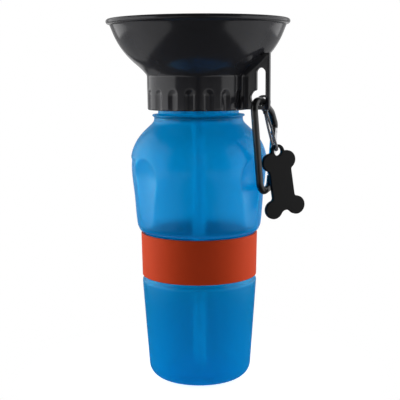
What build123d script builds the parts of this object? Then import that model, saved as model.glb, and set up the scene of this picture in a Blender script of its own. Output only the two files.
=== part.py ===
from build123d import *

import os
from math import atan2, cos, degrees, hypot, pi, radians, sin, sqrt, tan

os.makedirs("parts", exist_ok=True)

# Dog travel water bottle, in millimetres, +Z up. The origin is the centre of the
# base, on the surface the bottle stands on. The hanging tab of the cap points along +X.

# ---- driving dimensions ---------------------------------------------------------

# squeeze bottle: tapered cup, groove with the grip band, bulge, dome and neck
bottle_wall = 1.3
stand_r = 25.1                   # flat ring that the bottle stands on
base_corner_r = 9.4
cup_top_r, cup_top_z = 38.5, 66.5
cup_shoulder_r, cup_shoulder_turn = 2.5, 58
groove_r = 37.2
groove_foot_z = 69.0
recess_r, recess_rim_r, recess_h = 17.0, 20.0, 2.5
bulge_foot = (36.4, 106.4)       # centre of the rounding under the bulge
bulge_foot_r = 6.0
bulge_foot_end = 8               # degrees below level at which the bulge's side starts
bulge_side = [
    (44.1, 126.0), (45.65, 144.5), (43.4, 156.5), (38.35, 164.8), (32.1, 171.0), (29.5, 175.0),
]
neck_r = 26.8
lip_r, lip_z, lip_h, lip_slope = 30.7, 176.9, 1.2, 0.5
neck_top_z = 198.5

# thumb scallops in the bulge: upright round-ended cuts, two on each side
scallop_r = 48.0
scallop_depth = 2.9
scallop_top_z, scallop_foot_z = 135.0, 90.0      # centre of the round end, and start of the cut
scallop_skin_r = 45.0            # radius of the bulge that the depth is measured from
scallop_azimuths = (67, 171, 247, 351)

# silicone grip band in the groove
band_z, band_h = 70.4, 29.1
band_r_low, band_r_high = 38.5, 39.05
band_edge_r = 0.6

# screw thread between neck and cap
thread_pitch = 4.0
thread_turns = 1.5
thread_start_z = 185.0
thread_depth = 1.7
thread_root_w, thread_crest_w = 2.0, 0.9
thread_play = 0.4

# bowl cap: drinking bowl, screw collar and hanging tab in one moulding
collar_foot_z, collar_foot_r = 181.2, 33.7
collar_top_z, collar_top_r = 203.9, 33.9
collar_bore_r = neck_r + thread_depth + thread_play
bowl_wall = 2.0
bowl_side = [
    (34.2, 204.0), (37.3, 207.6), (41.8, 211.6), (49.3, 219.6), (55.0, 229.2), (58.1, 236.6),
]
bowl_floor_round = 1.2
rim_bead_r, rim_bead_ring_r, rim_bead_z = 1.7, 58.6, 238.3
bead_sweep = (-106, 311)         # degrees: where the bead leaves the bowl's outside, and its turn
cap_plate_z, bowl_floor_z = 200.55, 203.0
flute_count, flute_r, flute_depth, flute_top_z = 18, 7.0, 0.9, 191.0

tab_t = 3.0
tab_edge_x, tab_foot_z, tab_top_z = 51.9, 181.6, 224.0
tab_root_x, tab_root_z = 31.0, 202.5
tab_bowl_root = (34.5, 206.0)    # inside the bowl's foot
tab_corner_r = 1.5
slot_w = 6.5
slot_x, slot_top_z, slot_foot_z = 46.05, 208.2, 183.85
lobe_r, lobe_x, lobe_z = 4.6, 43.3, 189.3

# gasket between the neck and the cap
gasket_in_r, gasket_out_r = 24.2, 28.4
gasket_gap = 0.05

# push-pull valve in the bowl's floor
plate_hole_r = 6.5
flange_r, flange_t = 10.5, 2.0
washer_t = 0.6
barrel_r, barrel_head_r = 5.0, 5.6
barrel_head_z, barrel_top_z = 210.8, 213.0
barrel_bore_r = 3.6
snap_r, snap_h = 7.3, 1.0
post_r, post_foot_z, post_top_z = 1.75, 205.0, 217.2
post_web_t, post_web_h = 1.2, 3.0
o_ring_z, o_ring_h, o_ring_in_r, o_ring_out_r = 211.2, 1.2, 4.6, 5.7
spout_foot_z, spout_top_z = 204.5, 216.5
spout_bore_r, spout_out_r, spout_grip_r = 5.75, 7.4, 9.2
spout_lip_r, spout_lip_h = 5.1, 0.8
spout_top_t, spout_hole_r = 2.4, 1.9
spout_flare = (3.2, 2.0, 0.8)    # below the top: foot of the flare, of the grip, of the top edge

# dip tube from the valve to the bottle's floor
tube_r, tube_bore_r = 4.4, 3.4
tube_foot_z, tube_top_z = 6.0, 197.0
spigot_r, spigot_foot_z = 6.2, 189.0
socket_end = 1.5                 # from the tube's top to the wider bore above it
tube_slant = 35                  # degrees of the cut across its foot

# carabiner: bent bar in a plane that leans out a little so that it clears the bulge
bar_r = 2.3
hang_x, hang_z = 46.4, 187.0
lean = 2.8
nose_end = (17.3, -17.7)         # the bar's line, from the hanging point
nose_bend = (18.0, -15.3)
shoulder = (13.6, -7.5)
crown = (0.5, 0.3)
heel = (-12.2, 0.4)
toe = (-7.8, -58.6)
hinge_corner = (6.4, -55.7)
corner_radii = (4.0, 9.0, 10.0, 6.0, 6.5, 6.0)
gate_r = 2.2
frame_end_s, gate_foot_s, pivot_s = 7.5, 8.5, 10.5   # along the gate, from the hinge corner
tongue_t, tongue_w, tongue_end_s = 1.8, 4.0, 12.6
fork_w, hinge_fork_end_s = 2.1, 13.7
pivot_r, pivot_play = 0.8, 0.05
gate_gap = 0.5
latch_back, latch_r, latch_play = 3.0, 0.7, 0.3      # cross pin at the gate's free end
nose_tongue_l = 4.9
nose_fork_l = 5.6
spring_bore_r, spring_end_s = 1.3, 22.0
plunger_r, plunger_l = 1.15, 4.0
spring_wire_r, spring_coil_r, spring_turns = 0.18, 0.9, 8

# bone-shaped tag on a loop of cord
tag_t = 3.0
eyelet = Vector(55.7, 3.4, 155.0)
eyelet_r, eyelet_hole_r = 4.6, 2.75
tag_yaw = 52.0                   # the tag's width, turned from +X
tag_tilt = 9.0                   # the tag's length, tipped from upright
tag_lobe_r = 6.0
top_lobe = (5.8, -6.4)           # half spacing and height, from the eyelet
bottom_lobe = (8.2, -37.0)
shaft_half_w, shaft_top, shaft_foot = 7.9, -3.0, -39.0
tag_edge = 0.4

cord_r = 0.8
knot_r = 1.9
knot = Vector(47.0, 3.6, 179.9)
# route of the cord: round the bar, down to the eyelet, through it and back up to the knot
cord_route = [
    (46.6, 3.3, 180.6), (42.6, 3.0, 184.0), (42.5, 3.0, 190.1), (50.3, 3.0, 190.1),
    (50.4, 3.0, 184.0), (47.5, 3.5, 180.0), (52.0, 1.6, 171.5), (55.4, -0.8, 163.6),
    (57.6, 0.7, 155.9), (52.7, 4.7, 155.9), (51.4, 2.7, 163.6), (48.8, 3.4, 171.5),
    (46.8, 3.7, 179.7),
]
cord_tight = {2: 3.7, 3: 3.7}    # arcs round the bar, by the place in the route


def inset(points, wall):
    """The points of an outline moved in by the wall, square to it."""
    moved = []
    for i, (r, z) in enumerate(points):
        before = points[max(i - 1, 0)]
        after = points[min(i + 1, len(points) - 1)]
        dr, dz = after[0] - before[0], after[1] - before[1]
        length = hypot(dr, dz)
        moved.append((r - wall * dz / length, z + wall * dr / length))
    return moved


# ---- bottle ---------------------------------------------------------------------


def bottle_half(wall):
    """Half section of the bottle's skin, moved in by the wall, as edges of a BuildLine."""
    foot_r = bulge_foot_r - wall
    foot_x = groove_r - wall - bulge_foot[0]
    foot_start = degrees(atan2(-sqrt(foot_r**2 - foot_x**2), foot_x))
    neck_x = bulge_side[-1][0] - wall
    floor = Polyline(
        (0, recess_h + wall),
        (recess_r + wall / 3, recess_h + wall),
        (recess_rim_r + wall / 3, wall),
        (stand_r, wall),
    )
    CenterArc((stand_r, base_corner_r), base_corner_r - wall, -90, 90)
    Line((stand_r + base_corner_r - wall, base_corner_r), (cup_top_r - wall, cup_top_z))
    shoulder_centre = (cup_top_r - cup_shoulder_r, cup_top_z)
    shoulder_arc = CenterArc(shoulder_centre, cup_shoulder_r - wall, 0, cup_shoulder_turn)
    groove = Line(shoulder_arc @ 1, (groove_r - wall, groove_foot_z))
    foot = CenterArc(bulge_foot, foot_r, foot_start, -bulge_foot_end - foot_start)
    Line(groove @ 1, foot @ 0)
    first = foot @ 1
    side = inset([(first.X, first.Y)] + bulge_side, wall)
    bulge = [first] + [Vector(*point) for point in side[1:-1]] + [Vector(neck_x, bulge_side[-1][1])]
    Spline(bulge, tangents=(foot % 1, (0, 1)))
    if wall:
        neck = [(neck_x, lip_z - wall), (neck_r - wall, lip_z), (neck_r - wall, neck_top_z + 1)]
    else:
        neck = [
            (neck_x, lip_z - lip_slope / 2), (lip_r, lip_z), (lip_r, lip_z + lip_h),
            (neck_r, lip_z + lip_h + lip_slope), (neck_r, neck_top_z),
        ]
    Polyline((neck_x, bulge_side[-1][1]), *neck, (0, neck[-1][1]), floor @ 0)


scallop_reach = scallop_skin_r - scallop_depth + scallop_r
scallop_h = scallop_top_z - scallop_foot_z
scallop_places = [
    (scallop_reach * cos(radians(azimuth)), scallop_reach * sin(radians(azimuth)))
    for azimuth in scallop_azimuths
]

with BuildPart() as bottle_core:
    with BuildSketch(Plane.XZ):
        with BuildLine():
            bottle_half(bottle_wall)
        make_face()
    revolve(axis=Axis.Z)
    for x, y in scallop_places:
        with Locations((x, y, scallop_foot_z)):
            Cylinder(scallop_r + bottle_wall, scallop_h, mode=Mode.SUBTRACT,
                     align=(Align.CENTER, Align.CENTER, Align.MIN))
        with Locations((x, y, scallop_top_z)):
            Sphere(scallop_r + bottle_wall, mode=Mode.SUBTRACT)

thread_length = thread_pitch * thread_turns


def thread_section(inner_r, outer_r):
    """Trapezoid of a thread that stands on one radius and reaches to the other."""
    Polygon(
        (inner_r, -thread_root_w / 2), (outer_r, -thread_crest_w / 2),
        (outer_r, thread_crest_w / 2), (inner_r, thread_root_w / 2), align=None,
    )


with BuildPart() as neck_thread:
    with BuildLine():
        neck_helix = Helix(thread_pitch, thread_length, neck_r, center=(0, 0, thread_start_z))
    with BuildSketch(Plane(origin=(0, 0, thread_start_z), x_dir=(1, 0, 0), z_dir=(0, -1, 0))):
        thread_section(neck_r - 0.3, neck_r + thread_depth)
    sweep(path=neck_helix, is_frenet=True)

with BuildPart() as bottle_body:
    with BuildSketch(Plane.XZ):
        with BuildLine():
            bottle_half(0)
        make_face()
    revolve(axis=Axis.Z)
    for x, y in scallop_places:
        with Locations((x, y, scallop_foot_z)):
            Cylinder(scallop_r, scallop_h, mode=Mode.SUBTRACT,
                     align=(Align.CENTER, Align.CENTER, Align.MIN))
        with Locations((x, y, scallop_top_z)):
            Sphere(scallop_r, mode=Mode.SUBTRACT)
    add(neck_thread.part)
    add(bottle_core.part, mode=Mode.SUBTRACT)

# the silicone sleeve stretched into the groove
with BuildPart() as grip_band:
    with BuildSketch(Plane.XZ) as grip_band_outline:
        with BuildLine():
            Polyline(
                (groove_r, band_z), (band_r_low, band_z), (band_r_high, band_z + band_h),
                (groove_r, band_z + band_h), close=True,
            )
        make_face()
        outer_corners = grip_band_outline.vertices().sort_by(Axis.X)[-2:]
        fillet(outer_corners, band_edge_r)
    revolve(axis=Axis.Z)

# ---- bowl cap -------------------------------------------------------------------

with BuildPart() as cap_thread:
    with BuildLine():
        cap_helix = Helix(thread_pitch, thread_length, neck_r,
                          center=(0, 0, thread_start_z - thread_pitch / 2))
    with BuildSketch(Plane(origin=(0, 0, thread_start_z - thread_pitch / 2),
                           x_dir=(1, 0, 0), z_dir=(0, -1, 0))):
        thread_section(collar_bore_r + 0.3, neck_r + thread_play)
    sweep(path=cap_helix, is_frenet=True)

bowl_inside = inset(bowl_side, bowl_wall)

with BuildPart() as bowl_cap:
    # collar, plate, bowl and rim bead as one turned section
    with BuildSketch(Plane.XZ):
        with BuildLine():
            bead = CenterArc((rim_bead_ring_r, rim_bead_z), rim_bead_r, *bead_sweep)
            Spline(*bowl_side[:-1], bead @ 0)
            Spline(bead @ 1, *reversed(bowl_inside[:-1]))
            Polyline(
                bowl_inside[0], (bowl_inside[0][0] - bowl_floor_round, bowl_floor_z),
                (plate_hole_r, bowl_floor_z), (plate_hole_r, cap_plate_z),
                (collar_bore_r, cap_plate_z), (collar_bore_r, collar_foot_z),
                (collar_foot_r, collar_foot_z), (collar_top_r, collar_top_z), bowl_side[0],
            )
        make_face()
    revolve(axis=Axis.Z)
    # round-topped flutes that make the collar's ribs
    with PolarLocations(collar_foot_r + flute_r - flute_depth, flute_count,
                        start_angle=180 / flute_count):
        with Locations((0, 0, collar_foot_z - 1)):
            Cylinder(flute_r, flute_top_z - collar_foot_z + 1, mode=Mode.SUBTRACT,
                     align=(Align.CENTER, Align.CENTER, Align.MIN))
        with Locations((0, 0, flute_top_z)):
            Sphere(flute_r, mode=Mode.SUBTRACT)
    # flat tab from the collar up to the bowl's underside
    with BuildSketch(Plane.XZ) as tab_outline:
        with BuildLine():
            Polyline(
                (tab_root_x, tab_foot_z), (tab_edge_x, tab_foot_z), (tab_edge_x, tab_top_z),
                tab_bowl_root, (tab_root_x, tab_root_z), close=True,
            )
        make_face()
        fillet(tab_outline.vertices().group_by(Axis.X)[-1].sort_by(Axis.Y)[0], tab_corner_r)
    extrude(amount=tab_t / 2, both=True)
    add(cap_thread.part)
    # keyhole slot
    with BuildSketch(Plane.XZ):
        with Locations((slot_x, (slot_top_z + slot_foot_z) / 2)):
            SlotOverall(slot_top_z - slot_foot_z, slot_w, rotation=90)
        with Locations((lobe_x, lobe_z)):
            Circle(lobe_r)
    extrude(amount=tab_t, both=True, mode=Mode.SUBTRACT)

with BuildPart() as neck_gasket:
    with Locations((0, 0, neck_top_z + gasket_gap)):
        Cylinder(gasket_out_r, cap_plate_z - neck_top_z - 2 * gasket_gap,
                 align=(Align.CENTER, Align.CENTER, Align.MIN))
    with Locations((0, 0, neck_top_z)):
        Cylinder(gasket_in_r, 10, mode=Mode.SUBTRACT)

# ---- push-pull valve and dip tube -----------------------------------------------

washer_foot_z = cap_plate_z - washer_t

# nozzle: spigot, flange under the plate, barrel with its snap bead and head, and the
# plug post, which stands on a web across the bore
with BuildPart() as valve_body:
    with BuildSketch(Plane.XZ):
        with BuildLine():
            Polyline(
                (tube_bore_r, tube_top_z), (tube_r, tube_top_z), (tube_r, spigot_foot_z),
                (spigot_r, spigot_foot_z), (spigot_r, washer_foot_z - flange_t),
                (flange_r, washer_foot_z - flange_t), (flange_r, washer_foot_z),
                (plate_hole_r, washer_foot_z), (plate_hole_r, bowl_floor_z),
                (snap_r, bowl_floor_z), (plate_hole_r, bowl_floor_z + snap_h),
                (barrel_r, bowl_floor_z + snap_h), (barrel_r, barrel_head_z),
                (barrel_head_r, barrel_head_z), (barrel_head_r, o_ring_z),
                (o_ring_in_r, o_ring_z), (o_ring_in_r, o_ring_z + o_ring_h),
                (barrel_head_r, o_ring_z + o_ring_h), (barrel_head_r, barrel_top_z),
                (barrel_bore_r, barrel_top_z), (barrel_bore_r, tube_top_z + socket_end),
                (tube_bore_r, tube_top_z + socket_end), close=True,
            )
        make_face()
    revolve(axis=Axis.Z)
    with Locations((0, 0, post_foot_z)):
        Cylinder(post_r, post_top_z - post_foot_z, align=(Align.CENTER, Align.CENTER, Align.MIN))
        for turn in (0, 60, 120):
            Box(2 * barrel_bore_r + 1, post_web_t, post_web_h, rotation=(0, 0, turn),
                align=(Align.CENTER, Align.CENTER, Align.MIN))

with BuildPart() as valve_washer:
    with Locations((0, 0, washer_foot_z)):
        Cylinder(flange_r - 0.5, washer_t, align=(Align.CENTER, Align.CENTER, Align.MIN))
        Cylinder(plate_hole_r, 3, mode=Mode.SUBTRACT)

with BuildPart() as valve_o_ring:
    with BuildSketch(Plane.XZ):
        with Locations(((o_ring_in_r + o_ring_out_r) / 2, o_ring_z + o_ring_h / 2)):
            Rectangle(o_ring_out_r - o_ring_in_r, o_ring_h)
    revolve(axis=Axis.Z)

# pull-up spout: its hole sits on the plug post while it is pushed down
with BuildPart() as valve_spout:
    with BuildSketch(Plane.XZ):
        with BuildLine():
            Polyline(
                (spout_lip_r, spout_foot_z), (spout_out_r, spout_foot_z),
                (spout_out_r, spout_top_z - spout_flare[0]), (spout_grip_r, spout_top_z - spout_flare[1]),
                (spout_grip_r, spout_top_z - spout_flare[2]), (spout_grip_r - spout_flare[2], spout_top_z),
                (spout_hole_r, spout_top_z), (spout_hole_r, spout_top_z - spout_top_t),
                (spout_bore_r, spout_top_z - spout_top_t),
                (spout_bore_r, spout_foot_z + spout_lip_h),
                (spout_lip_r, spout_foot_z + spout_lip_h), close=True,
            )
        make_face()
    revolve(axis=Axis.Z)

with BuildPart() as dip_tube:
    with Locations((0, 0, tube_foot_z)):
        Cylinder(tube_r, tube_top_z - tube_foot_z, align=(Align.CENTER, Align.CENTER, Align.MIN))
        Cylinder(tube_bore_r, 3 * tube_top_z, mode=Mode.SUBTRACT)
    # the foot is cut at a slant so that it can't seal against the floor
    slant_z = tube_foot_z + tube_r * tan(radians(tube_slant))
    with Locations(Location((0, 0, slant_z), (0, tube_slant, 0))):
        Box(4 * tube_r, 4 * tube_r, 4 * tube_r, mode=Mode.SUBTRACT,
            align=(Align.CENTER, Align.CENTER, Align.MAX))

# ---- carabiner ------------------------------------------------------------------

lean_sin, lean_cos = sin(radians(lean)), cos(radians(lean))
hook_plane = Plane(origin=(hang_x, 0, hang_z), x_dir=(0, 1, 0), z_dir=(lean_cos, 0, lean_sin))
gate_run = Vector(nose_end[0] - hinge_corner[0], nose_end[1] - hinge_corner[1])
gate_way = gate_run.normalized()
nose_s = gate_run.length
frame_end = (hinge_corner[0] + frame_end_s * gate_way.X, hinge_corner[1] + frame_end_s * gate_way.Y)
# along the gate: x runs from the hinge corner to the nose, y points into the opening
gate_start = hook_plane.from_local_coords(Vector(*hinge_corner))
gate_end = hook_plane.from_local_coords(Vector(*nose_end))
gate_plane = Plane(origin=gate_start, x_dir=gate_end - gate_start, z_dir=hook_plane.z_dir)
latch_s = nose_s - latch_back


def gate_section(s):
    """Plane square to the gate, at a distance along it."""
    return Plane(origin=gate_plane.from_local_coords(Vector(s, 0)), z_dir=gate_plane.x_dir)


with BuildPart() as carabiner_frame:
    with BuildLine(hook_plane):
        bar_line = FilletPolyline(
            nose_end, nose_bend, shoulder, crown, heel, toe, hinge_corner, frame_end,
            radius=corner_radii,
        )
    with BuildSketch(Plane(origin=bar_line @ 0, z_dir=bar_line % 0)):
        Circle(bar_r)
    sweep(path=bar_line)
    # flat tongues at both ends, which the gate's forks straddle
    with BuildSketch(gate_plane):
        with Locations(((frame_end_s - 1 + tongue_end_s) / 2, 0)):
            Rectangle(tongue_end_s - frame_end_s + 1, tongue_w)
        with Locations((nose_s + 1 - (nose_tongue_l + 1) / 2, 0)):
            Rectangle(nose_tongue_l + 1, tongue_w)
        # hook notch for the latch pin, open towards the inside
        with Locations((latch_s, 0)):
            Circle(latch_r + latch_play, mode=Mode.SUBTRACT)
            Rectangle(2 * (latch_r + latch_play), tongue_w, mode=Mode.SUBTRACT,
                      align=(Align.CENTER, Align.MIN))
        with Locations((pivot_s, 0)):
            Circle(pivot_r, mode=Mode.SUBTRACT)
    extrude(amount=tongue_t / 2, both=True)

with BuildPart() as carabiner_gate:
    with BuildSketch(gate_section(gate_foot_s)):
        Circle(gate_r)
    extrude(amount=nose_s - gate_gap - gate_foot_s)
    with BuildSketch(gate_plane):
        with Locations(((gate_foot_s - 1 + hinge_fork_end_s) / 2, 0)):
            Rectangle(hinge_fork_end_s - gate_foot_s + 1, 3 * gate_r)
        with Locations((nose_s - nose_fork_l / 2, 0)):
            Rectangle(nose_fork_l, 3 * gate_r)
    extrude(amount=fork_w / 2, both=True, mode=Mode.SUBTRACT)
    with BuildSketch(gate_section(hinge_fork_end_s - 1)):
        Circle(spring_bore_r)
    extrude(amount=spring_end_s - hinge_fork_end_s + 1, mode=Mode.SUBTRACT)
    with BuildSketch(gate_plane):
        with Locations((pivot_s, 0)):
            Circle(pivot_r + pivot_play)
        with Locations((latch_s, 0)):
            Circle(latch_r)
    extrude(amount=2 * gate_r, both=True, mode=Mode.SUBTRACT)

with BuildPart() as gate_hinge_pin:
    with BuildSketch(gate_plane):
        with Locations((pivot_s, 0)):
            Circle(pivot_r)
    extrude(amount=gate_r - 0.1, both=True)

with BuildPart() as gate_latch_pin:
    with BuildSketch(gate_plane):
        with Locations((latch_s, 0)):
            Circle(latch_r)
    extrude(amount=gate_r - 0.1, both=True)

plunger_foot_s = tongue_end_s + 0.05

with BuildPart() as gate_plunger:
    with BuildSketch(gate_section(plunger_foot_s)):
        Circle(plunger_r)
    extrude(amount=plunger_l)

spring_foot_s = plunger_foot_s + plunger_l + spring_wire_r + 0.05
spring_rise = spring_end_s - spring_wire_r - 0.05 - spring_foot_s

with BuildPart() as gate_spring:
    with BuildLine():
        spring_line = Helix(spring_rise / spring_turns, spring_rise, spring_coil_r,
                            center=gate_section(spring_foot_s).origin, direction=gate_plane.x_dir)
    with BuildSketch(Plane(origin=spring_line @ 0, z_dir=spring_line % 0)):
        Circle(spring_wire_r)
    sweep(path=spring_line, is_frenet=True)

# ---- tag on its cord ------------------------------------------------------------

yaw_sin, yaw_cos = sin(radians(tag_yaw)), cos(radians(tag_yaw))
tilt_sin, tilt_cos = sin(radians(tag_tilt)), cos(radians(tag_tilt))
tag_plane = Plane(
    origin=eyelet,
    x_dir=(tilt_cos * yaw_cos, tilt_cos * yaw_sin, tilt_sin),
    z_dir=(yaw_sin, -yaw_cos, 0),
)

with BuildPart() as bone_tag:
    with BuildSketch(tag_plane):
        for half_gap, height in (top_lobe, bottom_lobe):
            with Locations((-half_gap, height), (half_gap, height)):
                Circle(tag_lobe_r)
        with Locations((0, (shaft_top + shaft_foot) / 2)):
            Rectangle(2 * shaft_half_w, shaft_top - shaft_foot)
        Circle(eyelet_r)
        Circle(eyelet_hole_r, mode=Mode.SUBTRACT)
    extrude(amount=tag_t / 2, both=True)
    tag_faces = bone_tag.faces().filter_by(Axis(eyelet, tag_plane.z_dir))
    chamfer(tag_faces.edges(), tag_edge)


def bend_radii(route, tight):
    """The arc at each inner point of a route: as large as its two runs allow."""
    radii = []
    for i in range(1, len(route) - 1):
        before, here, after = (Vector(*route[j]) for j in (i - 1, i, i + 1))
        runs = (here - before), (after - here)
        turn = runs[0].get_angle(runs[1])
        radius = 0.45 * min(run.length for run in runs) / tan(radians(turn / 2))
        radii.append(tight.get(i, radius))
    return radii


cord_radii = bend_radii(cord_route, cord_tight)
print("cord bends, mm:", [round(radius, 1) for radius in cord_radii])

with BuildPart() as tag_cord:
    with BuildLine():
        cord_line = FilletPolyline(*cord_route, radius=cord_radii)
    with BuildSketch(Plane(origin=cord_line @ 0, z_dir=cord_line % 0)):
        Circle(cord_r)
    sweep(path=cord_line)
print("cord length, mm:", round(cord_line.length, 1))
print("cord volume against section times length:",
      round(tag_cord.part.volume / (pi * cord_r**2 * cord_line.length), 3))

with BuildPart() as cord_knot:
    with Locations(knot):
        Sphere(knot_r)

# ---- export ---------------------------------------------------------------------

pieces = {
    "bottle_body": bottle_body,
    "grip_band": grip_band,
    "bowl_cap": bowl_cap,
    "neck_gasket": neck_gasket,
    "valve_body": valve_body,
    "valve_washer": valve_washer,
    "valve_o_ring": valve_o_ring,
    "valve_spout": valve_spout,
    "dip_tube": dip_tube,
    "carabiner_frame": carabiner_frame,
    "carabiner_gate": carabiner_gate,
    "gate_hinge_pin": gate_hinge_pin,
    "gate_latch_pin": gate_latch_pin,
    "gate_plunger": gate_plunger,
    "gate_spring": gate_spring,
    "bone_tag": bone_tag,
    "tag_cord": tag_cord,
    "cord_knot": cord_knot,
}
for name, piece in pieces.items():
    piece.part.label = name
    export_step(piece.part, f"parts/{name}.step")
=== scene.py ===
from math import atan2, ceil, cos, hypot, pi, radians, sin, sqrt, tan

import bpy
import numpy as np
from mathutils import Matrix, Vector
from mathutils.geometry import tessellate_polygon


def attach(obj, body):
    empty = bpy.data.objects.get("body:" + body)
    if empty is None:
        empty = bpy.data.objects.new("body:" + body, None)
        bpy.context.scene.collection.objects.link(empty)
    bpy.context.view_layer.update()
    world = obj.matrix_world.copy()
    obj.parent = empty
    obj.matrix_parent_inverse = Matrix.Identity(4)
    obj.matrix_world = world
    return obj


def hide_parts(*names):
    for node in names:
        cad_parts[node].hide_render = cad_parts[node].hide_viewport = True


# Dog travel water bottle. The part's frame has the base's centre at the origin, +Z up and
# the cap's hanging tab along +X. Sizes are in millimetres and are scaled as meshes are made.
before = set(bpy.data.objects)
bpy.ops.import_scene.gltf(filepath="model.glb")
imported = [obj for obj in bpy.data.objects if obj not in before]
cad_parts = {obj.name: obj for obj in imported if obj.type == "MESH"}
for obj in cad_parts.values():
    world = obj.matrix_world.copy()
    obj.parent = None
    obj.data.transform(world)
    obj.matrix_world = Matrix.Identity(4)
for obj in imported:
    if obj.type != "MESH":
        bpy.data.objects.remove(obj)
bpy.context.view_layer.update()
scene = bpy.context.scene
scene.view_settings.view_transform = "Standard"
MM = 0.001

# ---- camera ---------------------------------------------------------------------
# A long lens a little above the bottle's middle, turned so that the tab points right and
# towards the viewer. The picture is 400 pixels wide.
view_turn, view_pitch, view_roll = 29.0, 8.0, 0.33
view_distance, view_height, view_aside = 602.0, 205.0, 1.15
focal_px, picture_px = 903.0, 400.0

across = Vector((cos(radians(view_turn)), sin(radians(view_turn)), 0))
away = Vector((-sin(radians(view_turn)), cos(radians(view_turn)), 0))
camera = bpy.data.objects.new("camera", bpy.data.cameras.new("camera"))
camera.data.lens = camera.data.sensor_width * focal_px / picture_px
camera.location = MM * (view_aside * across - view_distance * away + Vector((0, 0, view_height)))
camera.rotation_euler = (radians(90 - view_pitch), radians(view_roll), radians(view_turn))
scene.collection.objects.link(camera)
scene.camera = camera

# ---- cord and knot --------------------------------------------------------------
# Braided polyester cord, 1.6 mm, tied in a loop: it runs round the carabiner's bar, down to
# the tag's eyelet and back to an overhand knot behind the tab.
cord_d, cord_length = 1.6, 81.3
ring_step = 0.16
cord_route = [
    (46.6, 3.3, 180.6), (42.6, 3.0, 184.0), (42.5, 3.0, 190.1), (50.3, 3.0, 190.1),
    (50.4, 3.0, 184.0), (47.5, 3.5, 180.0), (52.0, 1.6, 171.5), (55.4, -0.8, 163.6),
    (57.6, 0.7, 155.9), (52.7, 4.7, 155.9), (51.4, 2.7, 163.6), (48.8, 3.4, 171.5),
    (46.8, 3.7, 179.7),
]


def srgb(hexa):
    """Linear colour of an sRGB hex value."""
    parts = [int(hexa[i:i + 2], 16) / 255 for i in (0, 2, 4)]
    return [c / 12.92 if c <= 0.04045 else ((c + 0.055) / 1.055) ** 2.4 for c in parts] + [1.0]


def node(tree, kind, inputs=None, **settings):
    """A new node with its settings; an input is a value, a socket or a node's first output."""
    made = tree.nodes.new(kind)
    for name, value in settings.items():
        setattr(made, name, value)
    for name, value in (inputs or {}).items():
        if isinstance(value, bpy.types.Node):
            value = value.outputs[0]
        if isinstance(value, bpy.types.NodeSocket):
            tree.links.new(value, made.inputs[name])
        else:
            made.inputs[name].default_value = value
    return made


def finish(name, colour, **sockets):
    """A material, its node tree and its shader, with plain values set on the shader."""
    material = bpy.data.materials.new(name)
    material.use_nodes = True
    shader = material.node_tree.nodes["Principled BSDF"]
    shader.inputs["Base Color"].default_value = srgb(colour)
    for socket, value in sockets.items():
        shader.inputs[socket.replace("_", " ")].default_value = value
    return material, material.node_tree, shader


def piece(name, parts, material=None):
    """An object at the origin from lists of points, in millimetres, and faces."""
    points, faces = [], []
    for more_points, more_faces in parts:
        faces += [[i + len(points) for i in face] for face in more_faces]
        points += [tuple(point) for point in more_points]
    mesh = bpy.data.meshes.new(name)
    mesh.from_pydata((MM * np.array(points)).tolist(), [], faces)
    mesh.shade_smooth()
    if material:
        mesh.materials.append(material)
    made = bpy.data.objects.new(name, mesh)
    scene.collection.objects.link(made)
    return made


def paced(path, spacing, closed=False):
    """The path again, with points at an even spacing."""
    path = np.array(list(path) + ([path[0]] if closed else []), float)
    along = np.concatenate([[0], np.cumsum(np.linalg.norm(np.diff(path, axis=0), axis=1))])
    count = max(2, ceil(along[-1] / spacing) + 1)
    even = np.linspace(0, along[-1], count)
    points = np.stack([np.interp(even, along, column) for column in path.T], axis=1)
    return points[:-1] if closed else points


def tube(path, radii, around, closed=False):
    """Points and faces round a path; radii is one number or one for each ring and side."""
    path = np.array(path, float)
    ahead = np.roll(path, -1, axis=0) - np.roll(path, 1, axis=0)
    if not closed:
        ahead[0], ahead[-1] = path[1] - path[0], path[-1] - path[-2]
    ahead /= np.linalg.norm(ahead, axis=1)[:, None]
    # the first ring starts square to any direction that the path doesn't take
    side = np.cross(ahead[0], (0.31, 0.87, 0.38))
    radii = np.broadcast_to(radii, (len(path), around))
    turn = np.linspace(0, 2 * pi, around, endpoint=False)
    points = []
    for centre, way, row in zip(path, ahead, radii):
        side = side - way * side.dot(way)
        side /= np.linalg.norm(side)
        up = np.cross(way, side)
        points += list(centre + row[:, None] * (np.outer(np.cos(turn), side) + np.outer(np.sin(turn), up)))
    rings = len(path)
    faces = []
    for i in range(rings if closed else rings - 1):
        low, high = i * around, (i + 1) % rings * around
        faces += [
            (low + j, low + (j + 1) % around, high + (j + 1) % around, high + j) for j in range(around)
        ]
    if not closed:
        faces += [tuple(range(around - 1, -1, -1)), tuple(range((rings - 1) * around, rings * around))]
    return points, faces


def relief(tree, shader, grain_mm, strength, depth_mm, detail=2.0, drawn_out=None):
    """Bumps a shader's surface with noise of a grain size, which may be drawn out along Z."""
    coords = node(tree, "ShaderNodeTexCoord").outputs["Object"]
    if drawn_out:
        coords = node(tree, "ShaderNodeMapping", {"Vector": coords, "Scale": (1, 1, 1 / drawn_out)})
    grain = node(tree, "ShaderNodeTexNoise", {"Vector": coords, "Scale": 1 / (grain_mm * MM),
                                              "Detail": detail})
    bump = node(tree, "ShaderNodeBump", {"Height": grain.outputs["Fac"], "Strength": strength,
                                         "Distance": depth_mm * MM})
    tree.links.new(bump.outputs["Normal"], shader.inputs["Normal"])


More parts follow.
